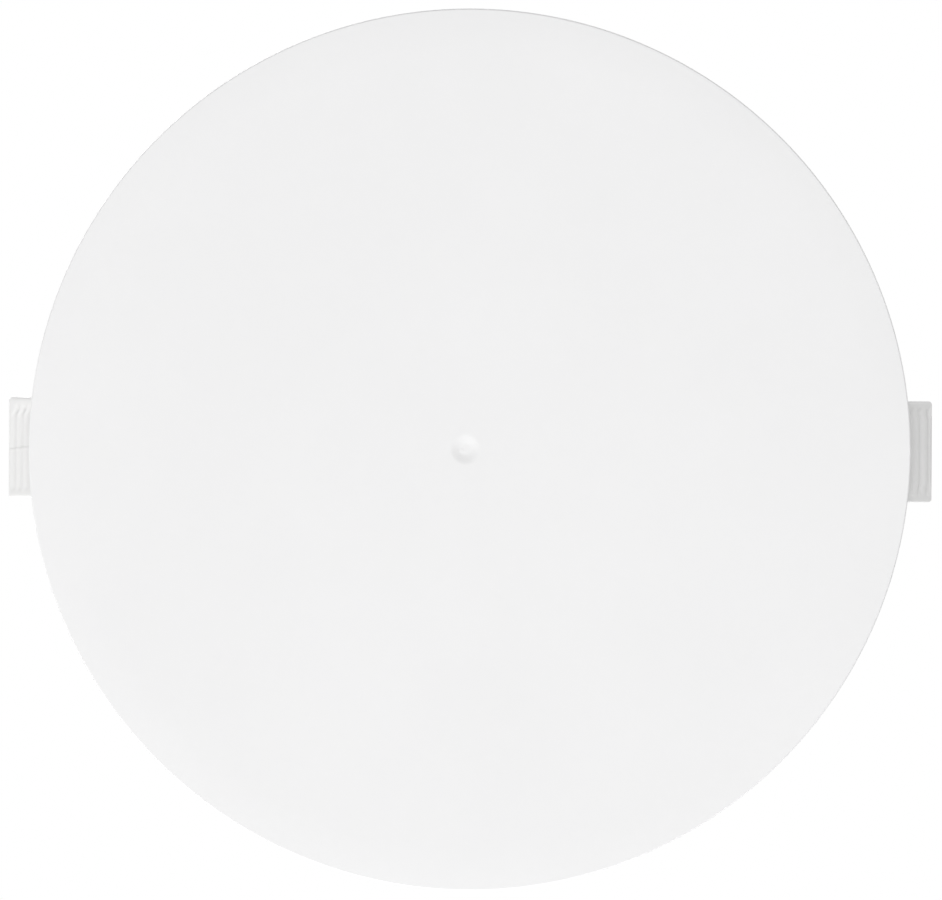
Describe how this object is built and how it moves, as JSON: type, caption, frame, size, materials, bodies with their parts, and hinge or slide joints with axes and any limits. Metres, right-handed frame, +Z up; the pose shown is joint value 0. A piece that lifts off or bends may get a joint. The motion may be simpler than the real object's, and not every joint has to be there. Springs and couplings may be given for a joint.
{
  "type": "concealed pendent fire sprinkler head",
  "caption": "Concealed pendent sprinkler head: threaded frame with glass bulb, drop-down deflector, support cup, and a round white cover plate with ribbed side latches.",
  "frame": {"origin": "centre of the inlet end of the pipe thread; the head hangs below it as installed", "axes": "+Z up along the pipe thread, towards the pipe; +X towards the right-hand latch; the cover plate faces -Z"},
  "size_m": [0.0882, 0.084, 0.0545],
  "materials": {
    "cover_paint": "satin white, faintly textured",
    "latch_plastic": "fine satin moulded white",
    "cast_brass": "cast, machined at the thread and seat",
    "sheet_brass": "rolled sheet, satin",
    "sheet_bronze": "rolled sheet, satin",
    "zinc_steel": "zinc plated, dull",
    "stainless": "bright drawn",
    "nickel_spring": "satin",
    "solder": "dull grey, reflowed",
    "seal_film": "waxy white",
    "bulb_glass": "clear",
    "bulb_liquid": "clear red liquid"
  },
  "bodies": {
    "head": {"frame_body": "cast_brass", "support_cup": "zinc_steel", "cup_lock_ring": "sheet_brass", "seal_film": "seal_film", "belleville_washer": "nickel_spring", "valve_cap": "cast_brass", "bulb_glass": "bulb_glass", "bulb_liquid": "bulb_liquid", "load_screw": "cast_brass", "guide_yoke": "sheet_bronze"},
    "deflector_set": {"deflector": "sheet_bronze", "guide_pin_1": "stainless", "guide_pin_2": "stainless", "pin_stop_1": "stainless", "pin_stop_2": "stainless"},
    "retainer_set": {"retainer": "sheet_brass", "left_latch_spring": "stainless", "right_latch_spring": "stainless", "left_keeper": "zinc_steel", "right_keeper": "zinc_steel", "left_keeper_screw_1": "zinc_steel", "left_keeper_screw_2": "zinc_steel", "right_keeper_screw_1": "zinc_steel", "right_keeper_screw_2": "zinc_steel", "eject_leaf_1": "stainless", "eject_leaf_2": "stainless", "eject_leaf_3": "stainless", "leaf_rivet_1": "cast_brass", "leaf_rivet_2": "cast_brass", "leaf_rivet_3": "cast_brass"},
    "left_latch_set": {"left_latch": "latch_plastic"},
    "right_latch_set": {"right_latch": "latch_plastic"},
    "cover_set": {"cover_plate": "cover_paint", "solder_pad_1": "solder", "solder_pad_2": "solder", "solder_pad_3": "solder"}
  },
  "joints": [
    {"name": "retainer_adjust", "type": "slide", "parent": "head", "child": "retainer_set", "axis": [0, 0, 1], "range_m": [-0.0127, 0]},
    {"name": "cover_drop", "type": "slide", "parent": "retainer_set", "child": "cover_set", "axis": [0, 0, 1], "range_m": [-0.04, 0]},
    {"name": "deflector_drop", "type": "slide", "parent": "head", "child": "deflector_set", "axis": [0, 0, 1], "range_m": [-0.016, 0]},
    {"name": "right_latch_squeeze", "type": "slide", "parent": "retainer_set", "child": "right_latch_set", "axis": [-1, 0, 0], "range_m": [0, 0.002], "stiffness_N_per_m": 700, "springref_m": -0.002, "deforming": ["right_latch_spring"]},
    {"name": "left_latch_squeeze", "type": "slide", "parent": "retainer_set", "child": "left_latch_set", "axis": [1, 0, 0], "range_m": [0, 0.002], "stiffness_N_per_m": 700, "springref_m": -0.002, "deforming": ["left_latch_spring"]}
  ],
  "couplings": [
    {"joint": "deflector_drop", "follows": "cover_drop", "ratio": 0.4}
  ]
}
